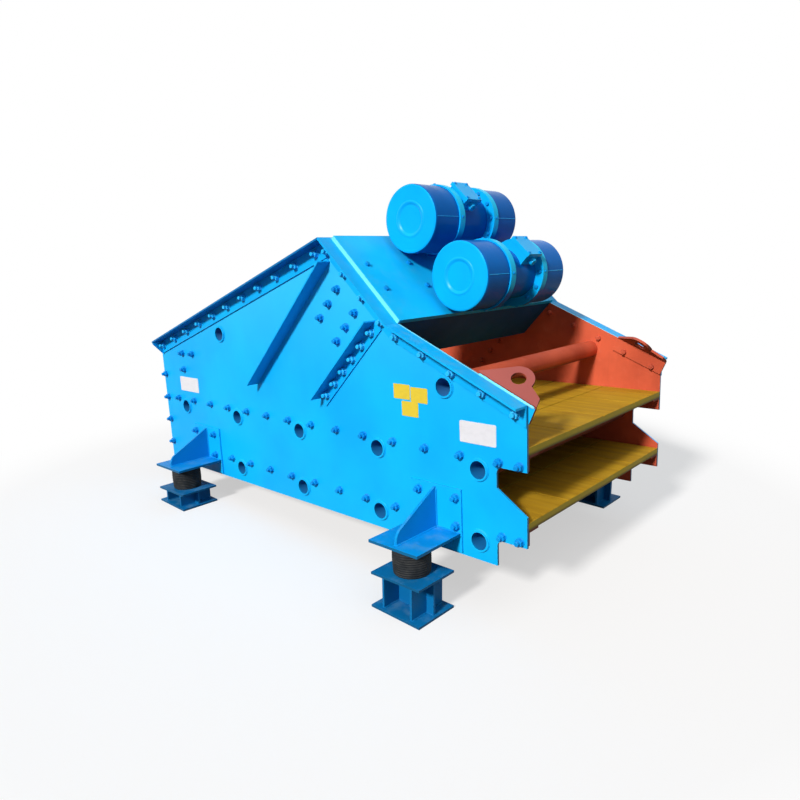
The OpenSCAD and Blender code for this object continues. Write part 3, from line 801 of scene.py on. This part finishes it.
# Head and feed tubes: bores in navy as painted shade
head_paint = make_tube("head_tube_paint", HEAD_TUBE_X, ONE_TUBE, (HEAD_TUBE_Z,))
feed_paint = make_tube("feed_tube_paint", FEED_TUBE_X, ONE_TUBE, (FEED_TUBE_Z,))
# Lugs: primer in brighter tones as painted light, and painted shade on faces that look to the discharge end
lug_paint = make_two_tone("lug_paint", lug_outside, WALL_LIT_TONES, 0.0, SHADE_AND_GRIME)
wall_paint = make_two_tone("feed_wall_paint", wall_outside)
upper_face = make_deck("ochre_upper_deck", "upper_deck")
lower_face = make_deck("ochre_lower_deck", "lower_deck")
rubber = make_rubber("black_rubber")
blank_white = make_blank("blank_white", (0.80, 0.77, 0.78, 1), (0.60, 0.58, 0.58, 1))
blank_yellow = make_blank("blank_yellow", (0.80, 0.58, 0.03, 1), (0.55, 0.38, 0.03, 1))

NODE_PAINT = {
    "side_plate_right": side_paint,
    "side_plate_left": side_paint,
    "feed_edge_angles": angle_paint,
    "feed_wall": wall_paint,
    "upper_cross_tubes": tube_paint,
    "lower_cross_tubes": tube_paint,
    "head_tube": head_paint,
    "feed_tube": feed_paint,
    "lifting_lug_right": lug_paint,
    "lifting_lug_left": lug_paint,
    "upper_deck_rails": rail_paint,
    "lower_deck_rails": rail_paint,
    "upper_deck_stringers": rail_paint,
    "lower_deck_stringers": rail_paint,
    "upper_deck": upper_face,
    "lower_deck": lower_face,
    "motor_plate": blue_plate_lit,
    "motor_beam": blue_beam_shaded,
    "upper_motor_body": upper_paint,
    "lower_motor_body": lower_paint,
    "upper_motor_covers": upper_paint,
    "lower_motor_covers": lower_paint,
    "upper_terminal_box": blue_gloss,
    "lower_terminal_box": blue_gloss,
}
KIND_PAINT = {"spring": rubber, "pedestal": blue_foot, "bracket": bracket_paint}
for node_name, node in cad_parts.items():
    kind = node_name.split("_")[0]
    paint = KIND_PAINT.get(kind, NODE_PAINT.get(node_name, blue_plate))
    node.data.materials.clear()
    node.data.materials.append(paint)


# Bolt rows on a side plate: place along the box, height, and the thickness that the nut sits on
def along_throw(along, below):
    """Point on the side plate, given along and square below the motor plate's edge."""
    a = math.radians(THROW_ANGLE)
    return (
        PEAK_X + along * math.cos(a) - below * math.sin(a),
        PEAK_Z - along * math.sin(a) - below * math.cos(a),
    )


def steps(start, pitch, count):
    return [start + pitch * k for k in range(count)]


def feed_row():
    """Row in the feed angle."""
    drop = 38
    return [(x, PEAK_Z - (PEAK_X - x) * FEED_RISE - drop, ANGLE_T) for x in steps(-1286, 151.2, 11)]


def end_row():
    """Row in the angle on the discharge slope."""
    drop = 54
    return [(x, KINK_Z - (x - KINK_X) * END_FALL - drop, ANGLE_T) for x in steps(702, 144.5, 5)]


def throw_row():
    """Row in the angle under the motor plate's edge."""
    drop = 52
    return [(*along_throw(s, drop), ANGLE_T) for s in (33, 178, 326, 474)]


def beam_rows():
    """Two rows that hold the motor beam."""
    return [(*along_throw(s, drop), 0) for s in (178, 326) for drop in (143, 233, 323)]


def stiffener_row(top_x, top_z, count, side_step):
    """Row down a stiffener, beside the line from its top."""
    a = math.radians(STIFF_ANGLE)
    row = []
    for t in steps(50, 88, count):
        x = top_x - t * math.cos(a) + side_step * math.sin(a)
        z = top_z - t * math.sin(a) - side_step * math.cos(a)
        row.append((x, z, STIFF_T))
    return row


def short_row():
    top_x, top_z = along_throw(THROW_LEN - 101, ANGLE_LEG + 6)
    return stiffener_row(top_x, top_z, 6, 26)


def long_row():
    return stiffener_row(309.3, 1376.0, 9, -31)


def deck_rows():
    """Rows that hold the angles under the decks."""
    upper_z = 601
    lower_z = 302
    lip_z = 304
    upper = [(x, upper_z, 0) for x in steps(-1180, 183, 14) + [1290]]
    lower = [(x, lower_z, 0) for x in steps(-636, 184, 8)]
    lip = [(x, lip_z, 0) for x in (1211, 1291)]
    return upper + lower + lip


def feed_wall_row():
    """Column that holds the feed wall, and three bolts beside the white plate."""
    wall_x = -1313
    column = [(wall_x, z, 0) for z in (740, 593, 449, 302)]
    return column + [(-1082, 885, 0), (-970, 886, 0), (-1081, 786, 0)]


EDGE_BOLTS = feed_row() + end_row() + throw_row() + short_row() + long_row()
FACE_BOLTS = beam_rows() + deck_rows() + feed_wall_row()
INNER_NUTS = feed_row() + short_row() + long_row() + end_row()
BOLT_GROUPS = (("edge_bolts_", EDGE_BOLTS, row_bolts_highlit), ("side_bolts_", FACE_BOLTS, blue_bolts_shaded))
NUT_FLATS = 30.0
NUT_REACH = 2.1
INNER_FLATS = 24.0
BRACKET_BOLT_X = (-86, 110)
BRACKET_BOLT_Z = (420, 299)

for side, flip in SIDES:
    rng = random.Random(7)
    for name, places, paint in BOLT_GROUPS:
        heads = Shape()
        for x, z, out in places:
            nut(heads, flip @ outward(x, z, out), NUT_FLATS, rng, NUT_REACH)
        piece(name + side, heads, paint, "screen")
    nuts = Shape()
    for x, z, out in INNER_NUTS:
        on_lug = LUG_X + 10 < x and z < KINK_Z
        nut(nuts, flip @ inward(x, z, LUG_T if on_lug else 0), INNER_FLATS, rng)
    piece("side_nuts_" + side, nuts, oxide, "screen")
    for end, x in ENDS:
        heads = Shape()
        for dx in BRACKET_BOLT_X:
            bolt_x = x + math.copysign(dx, x * dx)
            for z in BRACKET_BOLT_Z:
                nut(heads, flip @ outward(bolt_x, z, PLATE_T), NUT_FLATS, rng, NUT_REACH)
        piece("bracket_bolts_" + end + "_" + side, heads, blue_bolts_shaded, "screen")

# Bolts on the motor plate, the motors' flanges, rims, feet and terminal boxes
PLATE_BOLT_ALONG = (201, 352)
PLATE_BOLT_Y = (-560, -288, 288, 560)
PLATE_FLATS = 20.0
FLANGE_BOLT_R = 140
FLANGE_FLATS = 17.0
RIM_FLATS = 10.0
FOOT_FLATS = 26.0
FOOT_BOLT_X = 36
FOOT_BOLT_Y = 62
TERMINAL_FLATS = 11.0
TERMINAL_BOLT_X = 50
TERMINAL_BOLT_Y = 44
FLANGE_IN = MOTOR_LEN / 2 - COVER_LEN - FLANGE_T
FLANGE_MID = FLANGE_IN + FLANGE_T / 2

rng = random.Random(11)
heads = Shape()
for along in PLATE_BOLT_ALONG:
    for y in PLATE_BOLT_Y:
        bolt(heads, THROW @ move(along, y, MOTOR_PLATE_T), PLATE_FLATS, rng)
piece("motor_plate_bolts", heads, blue_bolts_shaded, "screen")

# Ring pressed in each motor cover, as (radius, height) pairs, and the seam along each cover
RING_BEAD = [(84, -0.6), (82, 0.5), (79, 1.7), (75.5, 2.2), (72, 1.2), (68, -1.4), (64, -3.5), (61.5, -4.4)]
RING_SIDES = 72
SEAM_SUNK = -0.6
SEAM_R = 1.7
SEAM_Y = (MOTOR_LEN - COVER_LEN) / 2
SEAM = [(0, 10 - COVER_LEN / 2, SEAM_SUNK), (0, COVER_LEN / 2 - 4, SEAM_SUNK)]

for motor, along, box_off in zip(("upper", "lower"), SHAFTS, TERMINAL_OFF):
    at = motor_frame(along)
    heads = Shape()
    for y, face in ((FLANGE_IN, 90), (-FLANGE_IN, -90)):
        for degrees in range(-15, 196, 30):
            a = math.radians(degrees)
            spot = at @ move(FLANGE_BOLT_R * math.cos(a), y, FLANGE_BOLT_R * math.sin(a))
            bolt(heads, spot @ turn(face, "X"), FLANGE_FLATS, rng)
    for y in (FLANGE_MID, -FLANGE_MID):
        for degrees in (45, 135, 225, 315):
            spot = at @ move(0, y, 0) @ turn(90 - degrees, "Y")
            bolt(heads, spot @ move(0, 0, FLANGE_R), RIM_FLATS, rng)
    for x in (-FOOT_BOLT_X, FOOT_BOLT_X):
        for y in (-FOOT_BOLT_Y, FOOT_BOLT_Y):
            bolt(heads, at @ move(x, y, MOTOR_FOOT_T - SHAFT_H), FOOT_FLATS, rng)
    for x in (-TERMINAL_BOLT_X, TERMINAL_BOLT_X):
        for y in (box_off - TERMINAL_BOLT_Y, box_off + TERMINAL_BOLT_Y):
            bolt(heads, at @ move(x, y, TERMINAL_H), TERMINAL_FLATS, rng)
    piece(motor + "_motor_bolts", heads, blue_bolts_shaded, "screen")
    trim = Shape()
    for y, face in ((-MOTOR_LEN / 2, 90), (MOTOR_LEN / 2, -90)):
        trim.lathe(RING_BEAD, RING_SIDES, at @ move(0, y, 0) @ turn(face, "X"), False, False)
    for y in (-SEAM_Y, SEAM_Y):
        weld(trim, SEAM, SEAM_R, at @ move(0, y, 0) @ turn(45, "Y") @ move(0, 0, COVER_R), rng)
    piece(motor + "_motor_trim", trim, blue_gloss, "screen", ROUND_ANGLE)

# Blank plates and stickers on the right side plate: place along the box and height, with a plate's width
BLANK_PLATES = ((-1043, 694, 206), (1102, 700, 172))
BLANK_H = 87
BLANK_T = 2.0
BLANK_CORNER = 6
STICKERS = ((712, 826), (808, 819), (756, 755))
STICKER_W = 92
STICKER_H = 64
STICKER_T = 0.8
STICKER_CORNER = 4

blanks = Shape()
for x, z, width in BLANK_PLATES:
    slab(blanks, width, BLANK_H, BLANK_T, BLANK_CORNER, outward(x, z, 0))
piece("blank_plates", blanks, blank_white, "screen")
stickers = Shape()
for x, z in STICKERS:
    slab(stickers, STICKER_W, STICKER_H, STICKER_T, STICKER_CORNER, outward(x, z, 0))
piece("blank_stickers", stickers, blank_yellow, "screen")

# Gussets that close the feed ends of the feed angles, drawn as corners across and up
ANGLE_END_X = -1314.0
END_GUSSET_T = 8.0
END_GUSSET_EASE = 1.0
END_GUSSET_LAP = 2
END_GUSSET_BLUNT = 8
slant = math.hypot(1, FEED_RISE)
leg_z = PEAK_Z - (PEAK_X - ANGLE_END_X) * FEED_RISE - ANGLE_T * slant
toe_z = leg_z - (ANGLE_LEG - ANGLE_T) * slant
tip_y = ANGLE_T - ANGLE_LEG + 1
end_corners = (
    (tip_y, leg_z + END_GUSSET_LAP),
    (tip_y, leg_z - END_GUSSET_BLUNT),
    (-END_GUSSET_BLUNT, toe_z),
    (0, toe_z),
    (0, leg_z + END_GUSSET_LAP),
)
mid_y = sum(y for y, z in end_corners) / len(end_corners)
mid_z = sum(z for y, z in end_corners) / len(end_corners)
end_layers = (
    (0, END_GUSSET_EASE),
    (END_GUSSET_EASE, 0),
    (END_GUSSET_T - END_GUSSET_EASE, 0),
    (END_GUSSET_T, END_GUSSET_EASE),
)
for side, flip in SIDES:
    plate = Shape()
    ring_list = []
    for x, ease in end_layers:
        ring = []
        for y, z in end_corners:
            ring.append((x, y + math.copysign(ease, mid_y - y), z + math.copysign(ease, mid_z - z)))
        ring_list.append(ring)
    plate.rings(ring_list, flip @ BOX @ move(ANGLE_END_X, 1 - HALF_W - ANGLE_T, 0))
    piece("angle_gusset_" + side, plate, angle_paint, "screen")

# Weld beads on the brackets, pedestals and tube ends, and a pale bead along each lug's top edge as painted
# highlight
BEAD_R = 5
SMALL_BEAD_R = 4
SEAT_MARGIN = 4
GUSSET_TOE = 20
GUSSET_TIP = 6
FOOT_MARGIN = 16
ROUND_TUBE = []
for degrees in range(0, 360, 6):
    a = math.radians(degrees)
    ROUND_TUBE.append((TUBE_R * math.cos(a), TUBE_R * math.sin(a), 0))
TUBES = [(x, z) for x in TUBE_X for z in TUBE_ROWS]
TUBES += [(HEAD_TUBE_X, HEAD_TUBE_Z), (FEED_TUBE_X, FEED_TUBE_Z)]

for side, flip in SIDES:
    rng = random.Random(19)
    for end, x in ENDS:
        corner = "_" + end + "_" + side
        beads = Shape()
        at = flip @ BOX @ move(x, -HALF_W, 0)
        low_z = SEAT_Z + SEAT_MARGIN
        high_z = SEAT_Z + GUSSET_H - GUSSET_TIP
        half_seat = FOOT_LEN / 2 - SEAT_MARGIN
        for dx in (-GUSSET_T / 2, GUSSET_T / 2):
            weld(beads, [(dx, -PLATE_T, SEAT_Z), (dx, GUSSET_TOE - SEAT_REACH, SEAT_Z)], BEAD_R, at, rng)
            weld(beads, [(dx, -PLATE_T, low_z), (dx, -PLATE_T, high_z)], BEAD_R, at, rng)
        for z in (SEAT_Z, SEAT_Z - SEAT_T):
            weld(beads, [(-half_seat, -PLATE_T, z), (half_seat, -PLATE_T, z)], BEAD_R, at, rng)
        piece("bracket_welds" + corner, beads, bracket_paint, "screen", ROUND_ANGLE)
        beads = Shape()
        foot_x = SHIFT_X + x * math.cos(TILT) - PAD_Z * math.sin(TILT)
        floor_at = flip @ MM @ move(foot_x, -SPRING_Y, 0)
        top_at = flip @ BOX @ move(x, -SPRING_Y, 0)
        half_w = FOOT_W / 2 - FOOT_MARGIN
        half_len = FOOT_LEN / 2 - FOOT_MARGIN
        for at, z in ((floor_at, FOOT_T), (top_at, PAD_Z - FOOT_T)):
            for dx in (-WEB_GAP / 2, WEB_GAP / 2):
                for off in (-WEB_T / 2, WEB_T / 2):
                    for y0, y1 in ((-half_w, -WEB_T / 2), (WEB_T / 2, half_w)):
                        weld(beads, [(dx + off, y0, z), (dx + off, y1, z)], SMALL_BEAD_R, at, rng)
            for off in (-WEB_T / 2, WEB_T / 2):
                weld(beads, [(-half_len, off, z), (half_len, off, z)], SMALL_BEAD_R, at, rng)
        piece("pedestal_welds" + corner, beads, blue_foot, "base", ROUND_ANGLE)
    beads = Shape()
    for x, z in TUBES:
        weld(beads, ROUND_TUBE, SMALL_BEAD_R, flip @ outward(x, z, 0), rng, True)
    piece("tube_welds_" + side, beads, blue_plate, "screen", ROUND_ANGLE)
    # Pale bead along each lug's top edge: a painted highlight of the lit edge
    beads = Shape()
    edge = [(x, -INNER_W, END_TOP_Z + (END_EDGE - x) * END_FALL) for x in (LUG_X + 6, LUG_TIP_X - 4)]
    weld(beads, edge, BEAD_R, flip @ BOX, rng)
    piece("lug_highlight_beads_" + side, beads, blue_highlight_bead, "screen", ROUND_ANGLE)

# Rubber springs that stretch between the pedestals and the brackets
RIBS = 13
RIB_STEPS = 6
RIB_DEPTH = 2.8
BARREL = 4
SPRING_SIDES = 64
spring_profile = []
for k in range(RIBS * RIB_STEPS + 1):
    u = k / (RIBS * RIB_STEPS)
    groove = RIB_DEPTH * abs(math.cos(math.pi * RIBS * u)) ** 2.2
    spring_profile.append((SPRING_R - BARREL * (2 * u - 1) ** 2 - groove, u * SPRING_H))

for side, flip in SIDES:
    for end, x in ENDS:
        body = Shape()
        at = flip @ BOX @ move(x, -SPRING_Y, PAD_Z)
        body.lathe(spring_profile, SPRING_SIDES, at)
        name = "spring_" + end + "_" + side
        spring = piece("rubber_" + name, body, rubber, None, ROUND_ANGLE)
        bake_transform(spring)
        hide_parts(name)


# Floor and world: white to the camera, and dimmer as light on the part
def seen_rays(n):
    """1 for rays from the camera, a mirror or glass, and 0 for the others."""
    path = n.add("ShaderNodeLightPath")
    mirrored = n.math("MAXIMUM", path.outputs["Is Glossy Ray"], path.outputs["Is Transmission Ray"])
    return n.math("MAXIMUM", path.outputs["Is Camera Ray"], mirrored)


FLOOR_HALF = 30
FLOOR_NEAR = 1.5
FLOOR_FAR = 3.0
FLOOR_GLOW = 0.55
FLOOR_SEEN = (0.96, 0.93, 0.90, 1)
FLOOR_LIT = (0.16, 0.16, 0.16, 1)

n = material_nodes("pale_floor")
seen = seen_rays(n)
far = n.times(n.smooth(n.length(n.coord()), FLOOR_NEAR, FLOOR_FAR), seen)
glow = n.math("MAXIMUM", far, n.times(seen, FLOOR_GLOW))
near = n.add("ShaderNodeBsdfDiffuse", {"Color": n.mix(seen, FLOOR_LIT, FLOOR_SEEN)})
white = n.add("ShaderNodeEmission", {"Color": (1, 1, 1, 1), "Strength": 1.0})
both = n.add("ShaderNodeMixShader", {0: glow, 1: near.outputs[0], 2: white.outputs[0]})
n.add("ShaderNodeOutputMaterial", {"Surface": both.outputs[0]})
corners = [(sx * FLOOR_HALF, sy * FLOOR_HALF, 0) for sx, sy in ((-1, -1), (1, -1), (1, 1), (-1, 1))]
floor_mesh = bpy.data.meshes.new("floor")
floor_mesh.from_pydata(corners, [], [(0, 1, 2, 3)])
floor_mesh.materials.append(n.owner)
floor_obj = bpy.data.objects.new("floor", floor_mesh)
bpy.context.scene.collection.objects.link(floor_obj)

world = bpy.data.worlds.new("studio")
bpy.context.scene.world = world
n = Nodes(world)
lit = n.add("ShaderNodeBackground", {"Color": (0.72, 0.85, 1.0, 1), "Strength": 0.2})
shown = n.add("ShaderNodeBackground", {"Color": (1, 1, 1, 1), "Strength": 1.0})
pick = n.add("ShaderNodeMixShader", {0: seen_rays(n), 1: lit.outputs[0], 2: shown.outputs[0]})
n.add("ShaderNodeOutputWorld", {"Surface": pick.outputs[0]})


def sun(name, toward, strength, spread):
    """Soft distant lamp that shines from the given direction."""
    lamp = bpy.data.lights.new(name, "SUN")
    lamp.energy = strength
    lamp.angle = math.radians(spread)
    obj = bpy.data.objects.new(name, lamp)
    obj.rotation_mode = "QUATERNION"
    obj.rotation_quaternion = Vector(toward).to_track_quat("Z", "Y")
    bpy.context.scene.collection.objects.link(obj)


sun("key", (0.10, -0.84, 0.53), 3.5, 8)
sun("top", (0.45, 0.0, 0.89), 0.6, 50)

# Camera fitted to the photograph: lens and middle in pixels, turns in degrees, place in metres
IMAGE_PX = 800
LENS_PX = 645.52
MIDDLE_PX = (398.54, 399.18)
SENSOR_MM = 36.0
CAMERA_TURNS = (42.8237, 13.1847, 0.7729)
CAMERA_AT = (2.505, -2.584, 1.4436)

camera_data = bpy.data.cameras.new("camera")
camera_data.sensor_width = SENSOR_MM
camera_data.lens = LENS_PX * SENSOR_MM / IMAGE_PX
camera_data.shift_x = (IMAGE_PX / 2 - MIDDLE_PX[0]) / IMAGE_PX
camera_data.shift_y = (MIDDLE_PX[1] - IMAGE_PX / 2) / IMAGE_PX
camera_data.clip_end = 200
camera = bpy.data.objects.new("camera", camera_data)
yaw, pitch, roll = (math.radians(v) for v in CAMERA_TURNS)
forward = Vector((-math.sin(yaw) * math.cos(pitch), math.cos(yaw) * math.cos(pitch), -math.sin(pitch)))
level = Vector((math.cos(yaw), math.sin(yaw), 0))
down = forward.cross(level)
across = math.cos(roll) * level + math.sin(roll) * down
up = math.sin(roll) * level - math.cos(roll) * down
pose = Matrix((across, up, -forward)).transposed().to_4x4()
pose.translation = Vector(CAMERA_AT)
camera.matrix_world = pose
bpy.context.scene.collection.objects.link(camera)
bpy.context.scene.camera = camera
bpy.context.scene.view_settings.view_transform = "Standard"
